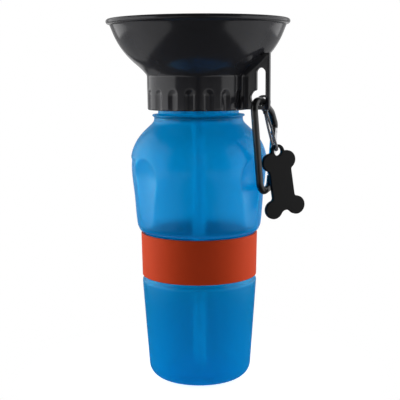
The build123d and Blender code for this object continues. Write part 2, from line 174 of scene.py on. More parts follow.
# Polyester yarn, braided and undyed grey: matt, with a soft sheen, and painted shade in the gaps
# # between the strands. The painted gaps follow the relief's own pattern, read from the UV map.
yarn_pitch = 2.4
cord_yarn, tree, shader = finish("braided_polyester_yarn", "a2a2a6", Roughness=0.72, Sheen_Weight=0.35)
uv = node(tree, "ShaderNodeUVMap", uv_map="braid")
strands = node(tree, "ShaderNodeTexWave", {"Vector": uv, "Scale": 1.0, "Distortion": 0.0},
               wave_type="BANDS", bands_direction="DIAGONAL", wave_profile="SIN")
gaps = node(tree, "ShaderNodeValToRGB", {"Fac": strands.outputs["Fac"]})
# painted shade: the ramp's dark end darkens the yarn to near black in the gaps between the strands
gaps.color_ramp.elements[0].color = srgb("2b2b2d")
gaps.color_ramp.elements[1].color = srgb("a4a4a6")
gaps.color_ramp.elements[1].position = 0.55
tree.links.new(gaps.outputs["Color"], shader.inputs["Base Color"])
relief(tree, shader, 0.15, 0.35, 0.1)

route = bpy.data.curves.new("cord_route", "CURVE")
route.dimensions = "3D"
route.resolution_u = 24
spline = route.splines.new("NURBS")
spline.points.add(len(cord_route) - 1)
for point, place in zip(spline.points, cord_route):
    point.co = (*(MM * Vector(place)), 1)
spline.order_u = 3
spline.use_endpoint_u = True
route_object = bpy.data.objects.new("cord_route", route)
scene.collection.objects.link(route_object)
route_mesh = bpy.data.meshes.new_from_object(route_object)
cord_line = paced([vertex.co / MM for vertex in route_mesh.vertices], ring_step)
bpy.data.objects.remove(route_object)

# two sets of strands cross over and under each other round the cord
strand_sides, strand_relief, strand_dip = 16, 0.07, 0.02
steps = np.arange(len(cord_line))[:, None] * ring_step / yarn_pitch * 2 * pi
sides = np.arange(strand_sides)[None, :] / strand_sides * 2 * pi
crossing = np.sin(2 * sides + steps) * np.sin(2 * sides - steps)
radii = cord_d / 2 - strand_dip + strand_relief * crossing
cord = piece("tag_cord_braid", [tube(cord_line, radii, strand_sides)], cord_yarn)
uv_map = cord.data.uv_layers.new(name="braid")
for loop in cord.data.loops:
    ring, side = divmod(loop.vertex_index, strand_sides)
    uv_map.data[loop.index].uv = (ring * ring_step / yarn_pitch * 2, side / strand_sides * 4)
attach(cord, "tag")
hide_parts("tag_cord")

# the knot: a trefoil pulled tight
knot_centre = Vector((47.0, 3.6, 179.9))
knot_size, knot_lobe, knot_rise, knot_strand_r = 0.42, 1.6, 1.3, 0.72
knot_line = [
    knot_centre + knot_size * Vector((
        sin(t) + knot_lobe * sin(2 * t), cos(t) - knot_lobe * cos(2 * t), -knot_rise * sin(3 * t)))
    for t in np.linspace(0, 2 * pi, 96, endpoint=False)
]
knot = piece("cord_overhand_knot", [tube(knot_line, knot_strand_r, 12, closed=True)], cord_yarn)
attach(knot, "tag")
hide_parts("cord_knot")

# ---- squeeze bottle -------------------------------------------------------------
# Blow-moulded in translucent blue polyethylene, 1.3 mm thick: a tapered cup, a groove for
# the band, a bulge with four thumb scallops, a dome and a threaded neck above a lip.
wall = 1.3
stand_r, base_corner_r = 25.1, 9.4
recess_r, recess_rim_r, recess_h, recess_edge_r = 17.0, 20.0, 2.5, 1.2
cup_top_r, cup_top_z = 38.5, 66.5
cup_shoulder_r, cup_shoulder_turn = 2.5, 58
groove_r, groove_foot_z, groove_edge_r = 37.2, 69.0, 0.6
bulge_foot, bulge_foot_r, bulge_foot_end = (36.4, 106.4), 6.0, 8
bulge_side = [
    (44.1, 126.0), (45.65, 144.5), (43.4, 156.5), (38.35, 164.8), (32.1, 171.0), (29.5, 175.0),
]
neck_r, neck_top_z = 26.8, 198.5
lip_r, lip_z, lip_h, lip_slope = 30.7, 176.9, 1.2, 0.5
neck_edges, inner_neck_edges = [0, 0.4, 0.45, 0.45, 0.5, 0.4, 0], [0, 1.0, 1.0, 0]
scallop_r, scallop_depth, scallop_skin_r = 48.0, 2.9, 45.0
scallop_foot_z, scallop_top_z, scallop_edge = 90.0, 135.0, 0.35
scallop_azimuths = (67, 171)
side_azimuth, side_half_angle, side_depth = 29, 25, 0.9
side_foot_z, side_top_z, side_edge = 101.0, 150.5, 2.4
thread_pitch, thread_turns, thread_start_z = 4.0, 1.5, 185.0
thread_depth, thread_root_w, thread_crest_w, thread_sunk = 1.7, 2.0, 0.9, 0.3
bulge_step, skin_step, neck_step, inner_step, inner_neck_step = 1.0, 1.05, 0.7, 1.6, 1.5
bottle_steps = 240


def arc(centre, radius, start, sweep, steps=12):
    """Points on an arc, from a start angle over a sweep, in degrees."""
    angles = np.radians(np.linspace(start, start + sweep, steps + 1))
    return [(centre[0] + radius * cos(a), centre[1] + radius * sin(a)) for a in angles]


def softened(corners, radii, closed=False, steps=5):
    """A polyline with each corner rounded by its radius; none at a radius of 0."""
    corners = [np.array(corner, float) for corner in corners]
    points = []
    for i, (corner, radius) in enumerate(zip(corners, radii)):
        if radius == 0 or (not closed and i in (0, len(corners) - 1)):
            points.append(corner)
            continue
        before = corners[i - 1] - corner
        after = corners[(i + 1) % len(corners)] - corner
        before, after = before / np.linalg.norm(before), after / np.linalg.norm(after)
        half = np.arccos(np.clip(before.dot(after), -1, 1)) / 2
        middle = (before + after) / np.linalg.norm(before + after)
        centre = corner + middle * radius / sin(half)
        foot, end = (corner + way * radius / tan(half) - centre for way in (before, after))
        for share in np.linspace(0, 1, steps + 1):
            spoke = foot * (1 - share) + end * share
            points.append(centre + spoke * radius / np.linalg.norm(spoke))
    return [tuple(point) for point in points]


def flowing(points, start, end, spacing):
    """A smooth curve through points, which leaves and arrives in the given directions."""
    points = np.array(points, float)
    knots = np.concatenate([[0], np.cumsum(np.linalg.norm(np.diff(points, axis=0), axis=1))])
    gaps = np.diff(knots)
    system, right = np.eye(len(points)), np.zeros_like(points)
    right[0], right[-1] = (np.array(way) / np.linalg.norm(way) for way in (start, end))
    for i in range(1, len(points) - 1):
        system[i, i - 1:i + 2] = gaps[i], 2 * (gaps[i - 1] + gaps[i]), gaps[i - 1]
        right[i] = 3 * (gaps[i] * (points[i] - points[i - 1]) / gaps[i - 1]
                        + gaps[i - 1] * (points[i + 1] - points[i]) / gaps[i])
    slopes = np.linalg.solve(system, right)
    curve = []
    for i, gap in enumerate(gaps):
        for t in np.linspace(0, 1, max(2, ceil(gap / spacing)) + 1)[:-1]:
            curve.append((2 * t**3 - 3 * t**2 + 1) * points[i] + (3 * t**2 - 2 * t**3) * points[i + 1]
                         + gap * (t**3 - 2 * t**2 + t) * slopes[i] + gap * (t**3 - t**2) * slopes[i + 1])
    return [tuple(point) for point in curve] + [tuple(points[-1])]


def moved_in(path, depth):
    """A profile moved to its left by a depth, square to it."""
    path = np.array(path, float)
    ahead = np.gradient(path, axis=0)
    ahead /= np.linalg.norm(ahead, axis=1)[:, None]
    return [tuple(point) for point in path + depth * np.stack([-ahead[:, 1], ahead[:, 0]], axis=1)]


def turned(profile, around, closed=False):
    """Points and faces of a profile of (radius, height) turned about the axis.

    It runs up the outside, so that what is solid lies on its left."""
    turn = np.linspace(0, 2 * pi, around, endpoint=False)
    points, rings, faces = [], [], []
    for radius, height in profile:
        count = 1 if radius < 1e-6 else around
        rings.append([len(points) + j % count for j in range(around)])
        points += [(radius * cos(a), radius * sin(a), height) for a in turn[:count]]
    pairs = list(zip(rings, rings[1:])) + ([(rings[-1], rings[0])] if closed else [])
    for low, high in pairs:
        for j in range(around):
            k = (j + 1) % around
            face = (low[j], low[k], high[k], high[j])
            faces.append(tuple(dict.fromkeys(face)))
    return points, faces


def screw_thread(name, root_r, crest_r, start_z, material, around=96):
    """A thread's rib wound about the axis, which rises over its first eighth and sinks over its last."""
    side = 1 if crest_r > root_r else -1
    section = [(0, -side * thread_root_w / 2), (1, -side * thread_crest_w / 2),
               (1, side * thread_crest_w / 2), (0, side * thread_root_w / 2)]
    points, faces = [], []
    count, least = int(around * thread_turns) + 1, 0.08
    for i in range(count):
        angle = 2 * pi * i / around
        fade = least + (1 - least) * min(1, 8 * i / count, 8 * (count - 1 - i) / count)
        for share, height in section:
            out = root_r + share * (crest_r - root_r) * fade
            points.append((out * cos(angle), out * sin(angle), start_z + height + thread_pitch * i / around))
    for i in range(count - 1):
        low, high = 4 * i, 4 * (i + 1)
        for j in range(4):
            k = (j + 1) % 4
            faces.append((low + j, high + j, high + k, low + k))
    faces += [(0, 1, 2, 3), tuple(range(4 * count - 1, 4 * count - 5, -1))]
    made = piece(name, [(points, faces)], material)
    made.data.set_sharp_from_angle(angle=radians(30))
    return made


def shape_tree(name, sockets):
    """An empty geometry tree with its sizes and two materials as inputs, and both end nodes."""
    tree = bpy.data.node_groups.new(name, "GeometryNodeTree")
    tree.interface.new_socket("Geometry", in_out="INPUT", socket_type="NodeSocketGeometry")
    for label in sockets:
        tree.interface.new_socket(label, in_out="INPUT", socket_type="NodeSocketFloat")
    for label in ("Outside", "Inside"):
        tree.interface.new_socket(label, in_out="INPUT", socket_type="NodeSocketMaterial")
    tree.interface.new_socket("Geometry", in_out="OUTPUT", socket_type="NodeSocketGeometry")
    return tree, node(tree, "NodeGroupInput").outputs, node(tree, "NodeGroupOutput")


def nearest_turn(tree, given):
    """A point's place, its height and its turn about the axis from the nearest of even angles."""
    place = node(tree, "GeometryNodeInputPosition")
    x, y, z = node(tree, "ShaderNodeSeparateXYZ", {0: place}).outputs
    turn = node(tree, "ShaderNodeMath", {0: y, 1: x}, operation="ARCTAN2")
    turn = node(tree, "ShaderNodeMath", {0: turn, 1: given["Start"]}, operation="SUBTRACT")
    half = node(tree, "ShaderNodeMath", {0: pi, 1: given["Count"]}, operation="DIVIDE")
    back = node(tree, "ShaderNodeMath", {0: half, 1: -1.0}, operation="MULTIPLY")
    return place, z, node(tree, "ShaderNodeMath", {0: turn, 1: half, 2: back}, operation="WRAP")


def close_tree(tree, shape, given, result):
    """Ends a geometry tree in one real mesh, with its outside's material and its inside's."""
    shape = node(tree, "GeometryNodeRealizeInstances", {0: shape})
    shape = node(tree, "GeometryNodeSetMaterial", {"Geometry": shape, "Material": given["Outside"]})
    skin = node(tree, "GeometryNodeInputNamedAttribute", {"Name": "skin"}, data_type="FLOAT")
    inner = node(tree, "ShaderNodeMath", {0: skin, 1: 0.1 * MM}, operation="GREATER_THAN")
    shape = node(tree, "GeometryNodeSetMaterial", {"Geometry": shape, "Selection": inner,
                                                   "Material": given["Inside"]})
    tree.links.new(shape.outputs[0], result.inputs[0])


def shaped(obj, tree, values):
    """Runs a geometry tree on an object and leaves it as a plain mesh."""
    modifier = obj.modifiers.new(tree.name, "NODES")
    modifier.node_group = tree
    for item in tree.interface.items_tree:
        if item.name in values:
            value = values[item.name]
            modifier[item.identifier] = value if isinstance(value, bpy.types.Material) else float(value)
    graph = bpy.context.evaluated_depsgraph_get()
    mesh = bpy.data.meshes.new_from_object(obj.evaluated_get(graph), depsgraph=graph)
    obj.modifiers.clear()
    obj.data = mesh


# upright scoops: round-topped cylinders cut into a turned wall at even angles
scoops, given, result = shape_tree(
    "upright_scoops", ["Count", "Start", "Cut radius", "Reach", "Foot z", "Top z", "Softness"])
place, z, turn = nearest_turn(scoops, given)
flat = node(scoops, "ShaderNodeVectorMath", {0: place, 1: (1, 1, 0)}, operation="MULTIPLY")
out = node(scoops, "ShaderNodeVectorMath", {0: flat}, operation="LENGTH").outputs["Value"]
level = node(scoops, "ShaderNodeMath", {0: turn}, operation="COSINE")
level = node(scoops, "ShaderNodeMath", {0: level, 1: given["Reach"]}, operation="MULTIPLY")
aside = node(scoops, "ShaderNodeMath", {0: turn}, operation="SINE")
aside = node(scoops, "ShaderNodeMath", {0: aside, 1: given["Reach"]}, operation="MULTIPLY")
aside = node(scoops, "ShaderNodeMath", {0: aside, 1: 2.0}, operation="POWER")
over = node(scoops, "ShaderNodeMath", {0: z, 1: given["Top z"]}, operation="SUBTRACT")
over = node(scoops, "ShaderNodeMath", {0: over, 1: 0.0}, operation="MAXIMUM")
over = node(scoops, "ShaderNodeMath", {0: over, 1: 2.0}, operation="POWER")
skin = node(scoops, "GeometryNodeInputNamedAttribute", {"Name": "skin"}, data_type="FLOAT")
cut = node(scoops, "ShaderNodeMath", {0: given["Cut radius"], 1: skin}, operation="ADD")
cut = node(scoops, "ShaderNodeMath", {0: cut, 1: 2.0}, operation="POWER")
rest = node(scoops, "ShaderNodeMath", {0: cut, 1: over}, operation="SUBTRACT")
rest = node(scoops, "ShaderNodeMath", {0: rest, 1: aside}, operation="SUBTRACT")
missed = node(scoops, "ShaderNodeMath", {0: rest, 1: 0.0}, operation="LESS_THAN")
below = node(scoops, "ShaderNodeMath", {0: z, 1: given["Foot z"]}, operation="LESS_THAN")
rest = node(scoops, "ShaderNodeMath", {0: rest, 1: 0.0}, operation="MAXIMUM")
rest = node(scoops, "ShaderNodeMath", {0: rest}, operation="SQRT")
hollow = node(scoops, "ShaderNodeMath", {0: level, 1: rest}, operation="SUBTRACT")
hollow = node(scoops, "ShaderNodeMath", {0: hollow, 1: missed}, operation="ADD")
hollow = node(scoops, "ShaderNodeMath", {0: hollow, 1: below}, operation="ADD")
new_out = node(scoops, "ShaderNodeMath", {0: out, 1: hollow, 2: given["Softness"]}, operation="SMOOTH_MIN")
ratio = node(scoops, "ShaderNodeMath", {0: new_out, 1: out}, operation="DIVIDE")
ratio = node(scoops, "ShaderNodeCombineXYZ", {0: ratio, 1: ratio, 2: 1.0})
moved = node(scoops, "ShaderNodeVectorMath", {0: place, 1: ratio}, operation="MULTIPLY")
placed = node(scoops, "GeometryNodeSetPosition", {"Geometry": given["Geometry"], "Position": moved})
close_tree(scoops, placed, given, result)

# shallow side hollows: patches that sink a little, with soft edges
hollows, given, result = shape_tree(
    "side_hollows", ["Count", "Start", "Half angle", "Depth", "Foot z", "Top z", "Edge", "Edge angle"])
place, z, turn = nearest_turn(hollows, given)
turn = node(hollows, "ShaderNodeMath", {0: turn}, operation="ABSOLUTE")
room = node(hollows, "ShaderNodeMath", {0: given["Half angle"], 1: turn}, operation="SUBTRACT")
room = node(hollows, "ShaderNodeMapRange", {"Value": room, "From Max": given["Edge angle"]},
            interpolation_type="SMOOTHSTEP").outputs["Result"]
head = node(hollows, "ShaderNodeMath", {0: given["Top z"], 1: z}, operation="SUBTRACT")
foot = node(hollows, "ShaderNodeMath", {0: z, 1: given["Foot z"]}, operation="SUBTRACT")
ends = node(hollows, "ShaderNodeMath", {0: head, 1: foot}, operation="MINIMUM")
ends = node(hollows, "ShaderNodeMapRange", {"Value": ends, "From Max": given["Edge"]},
            interpolation_type="SMOOTHSTEP").outputs["Result"]
depth = node(hollows, "ShaderNodeMath", {0: room, 1: ends}, operation="MULTIPLY")
depth = node(hollows, "ShaderNodeMath", {0: depth, 1: given["Depth"]}, operation="MULTIPLY")
way = node(hollows, "ShaderNodeVectorMath", {0: place, 1: (-1, -1, 0)}, operation="MULTIPLY")
way = node(hollows, "ShaderNodeVectorMath", {0: way}, operation="NORMALIZE")
way = node(hollows, "ShaderNodeVectorMath", {0: way, "Scale": depth}, operation="SCALE")
placed = node(hollows, "GeometryNodeSetPosition", {"Geometry": given["Geometry"], "Offset": way})
close_tree(hollows, placed, given, result)


def let_through(tree, shader, milky, tint):
    """Makes a shader's wall milky to light from behind, and lets lamps shine through it, tinted."""
    output = tree.nodes["Material Output"]
    surface = shader
    if milky:
        glow = node(tree, "ShaderNodeBsdfTranslucent", {"Color": srgb(milky[0])})
        surface = node(tree, "ShaderNodeMixShader", {"Fac": milky[1], 1: shader, 2: glow})
    clear = node(tree, "ShaderNodeBsdfTransparent", {"Color": srgb(tint)})
    lamp_ray = node(tree, "ShaderNodeLightPath").outputs["Is Shadow Ray"]
    surface = node(tree, "ShaderNodeMixShader", {"Fac": lamp_ray, 1: surface, 2: clear})
    tree.links.new(surface.outputs[0], output.inputs["Surface"])


# Blue polyethylene, blow-moulded: milky, so that it glows with the light that comes through
# from the sides and behind, shows what touches it from inside, and has a soft gloss.
bottle_blue, tree, shader = finish("translucent_blue_polyethylene", "00c6f0", Roughness=0.22,
                                   Transmission_Weight=0.75, IOR=1.4, Specular_IOR_Level=0.2)
# the mould's slight waviness, over a centimetre long, which bends reflections
relief(tree, shader, 14, 0.1, 0.8, 1.0)
let_through(tree, shader, ("00a8e4", 0.3), "70c8f0")
# The inside of the same wall, clear to the eye: it only tints what is seen through it.
bottle_inner, tree, shader = finish("translucent_blue_polyethylene_inside", "c8ecff", Roughness=0.12,
                                    Transmission_Weight=1.0, IOR=1.45)
relief(tree, shader, 9, 0.1, 0.8, 1.0)
let_through(tree, shader, None, "d8f2ff")

foot_x = groove_r - bulge_foot[0]
foot_start = np.degrees(atan2(-sqrt(bulge_foot_r**2 - foot_x**2), foot_x))
base = softened(
    [(0, recess_h), (recess_r, recess_h), (recess_rim_r, 0), (stand_r, 0)],
    [0, recess_edge_r, recess_edge_r, 0])
corner_end = np.degrees(atan2(cup_top_r - stand_r - base_corner_r, cup_top_z - base_corner_r))
cup = arc((stand_r, base_corner_r), base_corner_r, -90, 90 - corner_end, 16) + [(cup_top_r, cup_top_z)]
shoulder = arc((cup_top_r - cup_shoulder_r, cup_top_z), cup_shoulder_r, 0, cup_shoulder_turn, 10)
foot_arc = arc(bulge_foot, bulge_foot_r, foot_start, -bulge_foot_end - foot_start, 14)
groove = softened([shoulder[-1], (groove_r, groove_foot_z), foot_arc[0]], [0, groove_edge_r, 0])
foot_way = (sin(radians(bulge_foot_end)), cos(radians(bulge_foot_end)))
bulge = flowing([foot_arc[-1]] + bulge_side, foot_way, (0, 1), bulge_step)
outside = base + cup + shoulder[1:] + groove[1:] + foot_arc[1:] + bulge[1:]
neck_x = bulge_side[-1][0]
neck = softened(
    [bulge[-1], (neck_x, lip_z - lip_slope / 2), (lip_r, lip_z), (lip_r, lip_z + lip_h),
     (neck_r, lip_z + lip_h + lip_slope), (neck_r, neck_top_z), (neck_r - wall, neck_top_z)],
    neck_edges)
inner_neck = softened(
    [(neck_r - wall, neck_top_z), (neck_r - wall, lip_z), (neck_x - wall, lip_z - wall),
     (neck_x - wall, bulge[-1][1])], inner_neck_edges)
inside = moved_in(paced(outside, inner_step)[1:], wall)[::-1]
outer_rows = list(paced(outside, skin_step)) + list(paced(neck, neck_step))[1:]
inner_rows = list(paced(inner_neck, inner_neck_step)) + inside[1:] + [(0, recess_h + wall)]
bottle = piece("bottle_shell", [turned([tuple(row) for row in outer_rows + inner_rows], bottle_steps)])
# how far each point lies under the outer skin, for the scoops and the two materials
depths = bottle.data.attributes.new("skin", "FLOAT", "POINT")
# the first row is one point, on the axis
inner_start = 1 + (len(outer_rows) - 1) * bottle_steps
values = np.zeros(len(bottle.data.vertices), np.float32)
values[inner_start:] = wall * MM
depths.data.foreach_set("value", values)
scallop_reach = scallop_skin_r - scallop_depth + scallop_r
for azimuth in scallop_azimuths:
    shaped(bottle, scoops, {
        "Count": 2, "Start": radians(azimuth), "Cut radius": scallop_r * MM, "Reach": scallop_reach * MM,
        "Foot z": scallop_foot_z * MM, "Top z": scallop_top_z * MM, "Softness": scallop_edge * MM,
        "Outside": bottle_blue, "Inside": bottle_inner,
    })
shaped(bottle, hollows, {
    "Count": 2, "Start": radians(side_azimuth), "Half angle": radians(side_half_angle),
    "Depth": side_depth * MM, "Foot z": side_foot_z * MM, "Top z": side_top_z * MM,
    "Edge": side_edge * MM, "Edge angle": side_edge / scallop_skin_r,
    "Outside": bottle_blue, "Inside": bottle_inner,
})
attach(bottle, "bottle")
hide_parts("bottle_body")

neck_thread = screw_thread("bottle_neck_thread", neck_r - thread_sunk, neck_r + thread_depth,
                           thread_start_z, bottle_blue)
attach(neck_thread, "bottle")

# ---- grip band ------------------------------------------------------------------
# A sleeve moulded in red silicone rubber and stretched over the bottle into its groove,
# where its own tension holds it.
band_z, band_h = 70.4, 29.1
band_r_low, band_r_high, band_edge_r, band_inner_edge_r = 38.5, 39.05, 0.6, 0.2
band_play, band_step, band_steps = 0.05, 0.5, 240

# Silicone rubber, moulded and filled with pigment: nearly matt, with a fine grain from the
# mould's blasted face.
band_red, tree, shader = finish("moulded_red_silicone", "dc4820", Roughness=0.5, Specular_IOR_Level=0.1)
relief(tree, shader, 0.35, 0.15, 0.05)

band_rim = softened(
    [(groove_r + band_play, band_z), (band_r_low, band_z), (band_r_high, band_z + band_h),
     (groove_r + band_play, band_z + band_h)],
    [band_inner_edge_r, band_edge_r, band_edge_r, band_inner_edge_r], closed=True)
band_rim = [tuple(point) for point in paced(band_rim, band_step, closed=True)]
band = piece("grip_band_sleeve", [turned(band_rim, band_steps, closed=True)], band_red)
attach(band, "bottle")
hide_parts("grip_band")

# ---- bowl cap -------------------------------------------------------------------
# Drinking bowl, fluted screw collar and flat hanging tab, injection-moulded in one piece in
# black polypropylene. It screws onto the bottle's neck.
collar_foot_z, collar_foot_r = 181.2, 33.7
collar_top_z, collar_top_r = 203.9, 33.9
collar_bore_r, collar_edge_r, collar_seam_r, collar_step = 28.9, 0.6, 0.25, 0.8
bowl_wall, bowl_floor_z, plate_z, plate_hole_r = 2.0, 203.0, 200.55, 6.5
bowl_side = [
    (34.2, 204.0), (37.3, 207.6), (41.8, 211.6), (49.3, 219.6), (55.0, 229.2), (58.1, 236.6),
]
bowl_foot_way, bowl_top_way, bowl_floor_way = (0.62, 0.78), (0.42, 0.9), (-0.62, -0.7)
bowl_step, bowl_floor_bend = 1.2, 1.6
floor_edges = [0, 1.5, 0.3, 0.2, 0.8, 0.5, 0]
bead_r, bead_ring_r, bead_z = 1.7, 58.6, 238.3
bead_start, bead_sweep = -106, 311
flute_count, flute_steps, flute_r, flute_depth, flute_top_z, flute_edge = 18, 24, 7.0, 0.9, 191.0, 0.35
thread_play = 0.4
tab_t, tab_edge_r = 3.0, 0.5
tab_edge_x, tab_foot_z, tab_top_z, tab_corner_r, tab_top_corner_r = 51.9, 181.6, 217.5, 1.5, 0.5
tab_root_x, tab_root_z, tab_bowl_root, tab_top_root_x = 31.0, 202.5, (34.5, 206.0), 46.3
slot_w, slot_x, slot_top_z, slot_foot_z = 6.5, 46.05, 208.2, 183.85
lobe_r, lobe_x, lobe_z = 4.6, 43.3, 189.3
slot_blend_r, lobe_blend_r = 1.2, 1.0
web_r, web_flare, web_flare_h, web_sunk, web_inner_y, web_levels = 4.0, 0.5, 5.0, 1.2, 0.3, 40
web_foot_gap, web_top_gap, web_edge_gap = 0.6, 1.6, 0.2

# Polypropylene, injection-moulded in a polished tool and dyed black: glossy, with a very
# slight ripple from shrinkage and fine scuffs that dull the gloss here and there.
cap_black, tree, shader = finish("gloss_black_polypropylene", "2e2e32", Roughness=0.15, IOR=1.49)
relief(tree, shader, 16, 0.05, 0.8, 1.0)
coords = node(tree, "ShaderNodeTexCoord").outputs["Object"]
scuffs = node(tree, "ShaderNodeTexNoise", {"Vector": coords, "Scale": 1 / (5 * MM), "Detail": 6.0,
                                           "Roughness": 0.7})
dulled = node(tree, "ShaderNodeMapRange", {"Value": scuffs.outputs["Fac"], "From Min": 0.35,
                                           "From Max": 0.75, "To Min": 0.13, "To Max": 0.19})
tree.links.new(dulled.outputs["Result"], shader.inputs["Roughness"])

bead = arc((bead_ring_r, bead_z), bead_r, bead_start, bead_sweep, 26)
bowl_out = flowing(bowl_side[:-1] + bead[:1], bowl_foot_way, bowl_top_way, bowl_step)
bowl_in = flowing(bead[-1:] + moved_in(bowl_side, bowl_wall)[-2::-1],
                  (-bowl_top_way[0], -bowl_top_way[1]), bowl_floor_way, bowl_step)
collar = softened([(collar_bore_r, collar_foot_z), (collar_foot_r, collar_foot_z),
                   (collar_top_r, collar_top_z), bowl_out[0]], [0, collar_edge_r, collar_seam_r, 0])[1:]
collar = paced(collar, collar_step)
floor_line = softened(
    [bowl_in[-1], (bowl_in[-1][0] - bowl_floor_bend, bowl_floor_z), (plate_hole_r, bowl_floor_z),
     (plate_hole_r, plate_z), (collar_bore_r, plate_z), (collar_bore_r, collar_foot_z),
     (collar_foot_r - 1.0, collar_foot_z)],
    floor_edges)
cap_profile = [tuple(p) for p in collar] + bowl_out[1:] + bead[1:] + bowl_in[1:] + floor_line[1:-1]
cap_turned = piece("bowl_cap_turned", [turned(cap_profile, flute_steps * flute_count, closed=True)])
shaped(cap_turned, scoops, {
    "Count": flute_count, "Start": pi / flute_count, "Cut radius": flute_r * MM,
    "Reach": (collar_foot_r + flute_r - flute_depth) * MM, "Foot z": 0.0, "Top z": flute_top_z * MM,
    "Softness": flute_edge * MM, "Outside": cap_black, "Inside": cap_black,
})
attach(cap_turned, "cap")
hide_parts("bowl_cap")


def meeting(a, b, reach, left=True):
    """Centre of a circle that touches circles a and b, each (x, y, radius), from outside."""
    start, end = np.array(a[:2], float), np.array(b[:2], float)
    gap = np.linalg.norm(end - start)
    ahead = (end - start) / gap
    first, second = a[2] + reach, b[2] + reach
    along = (gap**2 + first**2 - second**2) / (2 * gap)
    beside = sqrt(first**2 - along**2) * (1 if left else -1)
    return tuple(start + along * ahead + beside * np.array([-ahead[1], ahead[0]]))


def chained(links, step=6):
    """A closed outline of points (x, y) and touching arcs (x, y, radius, +1 or -1 for its turn)."""
    outline = []
    for i, link in enumerate(links):
        if len(link) == 2:
            outline.append(link)
            continue
        centre, radius = np.array(link[:2], float), link[2]
        ends = []
        for other in (links[i - 1], links[(i + 1) % len(links)]):
            target = np.array(other[:2], float) - centre
            ends.append(atan2(target[1], target[0]))
        sweep = (ends[1] - ends[0]) * link[3] % (2 * pi) * link[3]
        count = max(2, ceil(abs(np.degrees(sweep)) / step))
        outline += arc(centre, radius, np.degrees(ends[0]), np.degrees(sweep), count)
    gaps = [hypot(p[0] - q[0], p[1] - q[1]) for p, q in zip(outline, outline[1:] + outline[:1])]
    return [tuple(map(float, p)) for p, gap in zip(outline, gaps) if gap > 1e-4]


def plate(outline, holes, thick, edge, place, steps=4):
    """Points and faces of a flat plate with rounded edges, stood in space by a matrix.

    The outline turns to the left and the holes to the right."""
    points, faces, flats = [], [], ([], [])
    for loop in [outline] + holes:
        loop = np.array(loop, float)
        count = len(loop)
        ahead = np.roll(loop, -1, axis=0) - np.roll(loop, 1, axis=0)
        ahead /= np.linalg.norm(ahead, axis=1)[:, None]
        inward = np.stack([-ahead[:, 1], ahead[:, 0]], axis=1)
        start = len(points)
        angles = np.linspace(0, pi / 2, steps + 1)
        rows = [(edge * (1 - sin(a)), thick / 2 - edge * (1 - cos(a))) for a in angles]
        rows += [(depth, -height) for depth, height in rows[::-1]]
        for depth, height in rows:
            points += [(*p, height) for p in loop + depth * inward]
        for i in range(len(rows) - 1):
            low, high = start + i * count, start + (i + 1) * count
            for j in range(count):
                k = (j + 1) % count
                faces.append((high + j, high + k, low + k, low + j))
        flats[0].append(list(range(start, start + count)))
        flats[1].append(list(range(start + (len(rows) - 1) * count, start + len(rows) * count)))
    for up, loops in zip((1, -1), flats):
        flat = [i for loop in loops for i in loop]
        for corners in tessellate_polygon([[Vector(points[i]) for i in loop] for loop in loops]):
            a, b, c = (Vector(points[flat[i]]) for i in corners)
            facing = (b - a).cross(c - a).z * up
            faces.append(tuple(flat[i] for i in (corners if facing > 0 else corners[::-1])))
    return [tuple(place @ Vector(p)) for p in points], faces


upright = Matrix(((1, 0, 0, 0), (0, 0, -1, 0), (0, 1, 0, 0), (0, 0, 0, 1)))
tab_outline = softened(
    [(tab_root_x, tab_foot_z), (tab_edge_x, tab_foot_z), (tab_edge_x, tab_top_z),
     (tab_top_root_x, tab_top_z), tab_bowl_root, (tab_root_x, tab_root_z)],
    [0, tab_corner_r, tab_top_corner_r, 0, 0, 0], closed=True)
half_slot = slot_w / 2
slot_left, slot_right = slot_x - half_slot, slot_x + half_slot
slot_foot = (slot_x, slot_foot_z + half_slot, half_slot)
lobe = (lobe_x, lobe_z, lobe_r)
upper_x = slot_left - slot_blend_r
upper_z = lobe_z + sqrt((lobe_r + slot_blend_r) ** 2 - (lobe_x - upper_x) ** 2)
lower = meeting(slot_foot, lobe, lobe_blend_r)
keyhole = chained([
    (slot_right, slot_foot[1]), (slot_right, slot_top_z - half_slot),
    (slot_x, slot_top_z - half_slot, half_slot, 1), (slot_left, slot_top_z - half_slot),
    (slot_left, upper_z), (upper_x, upper_z, slot_blend_r, -1), (*lobe, 1),
    (*lower, lobe_blend_r, -1), (*slot_foot, 1),
])
tab = piece("hanging_tab", [plate(tab_outline, [keyhole[::-1]], tab_t, tab_edge_r, upright)], cap_black)
weighted = tab.modifiers.new("weighted", "WEIGHTED_NORMAL")
weighted.weight = 100
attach(tab, "cap")

# the moulded fillets between the tab and the collar and bowl, wider under the bowl
host = np.array([tuple(p) for p in collar] + bowl_out[1:])
webs = []
for side in (1, -1):
    points, faces = [], []
    levels = np.linspace(tab_foot_z + web_foot_gap, tab_top_z - web_top_gap, web_levels)
    for level in levels:
        host_r = np.interp(level, host[:, 1], host[:, 0])
        blend = web_r * (1 + web_flare * np.clip((level - collar_top_z) / web_flare_h, 0, 1))
        middle = tab_t / 2 + blend
        centre = min(sqrt((host_r + blend) ** 2 - middle**2), tab_edge_x - web_edge_gap)
        start, end = -90.0, np.degrees(atan2(-middle, -centre)) % 360 - 360
        section = [(x, side * y) for x, y in arc((centre, middle), blend, start, end - start, 9)]
        sunk_x, inner_y = host_r - web_sunk, side * web_inner_y
        section += [(sunk_x, side * middle * 0.8), (sunk_x, inner_y), (centre, inner_y)]
        points += [(x, y, level) for x, y in section]
    count = len(section)
    for i in range(len(levels) - 1):
        for j in range(count):
            low, high, k = i * count, (i + 1) * count, (j + 1) % count
            quad = (low + j, low + k, high + k, high + j)
            faces.append(quad if side < 0 else quad[::-1])
    caps = [tuple(range(count)), tuple(range(len(points) - 1, len(points) - 1 - count, -1))]
    faces += [cap if side > 0 else cap[::-1] for cap in caps]
    webs.append((points, faces))
web = piece("tab_fillets", webs, cap_black)
web.data.set_sharp_from_angle(angle=radians(40))
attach(web, "cap")

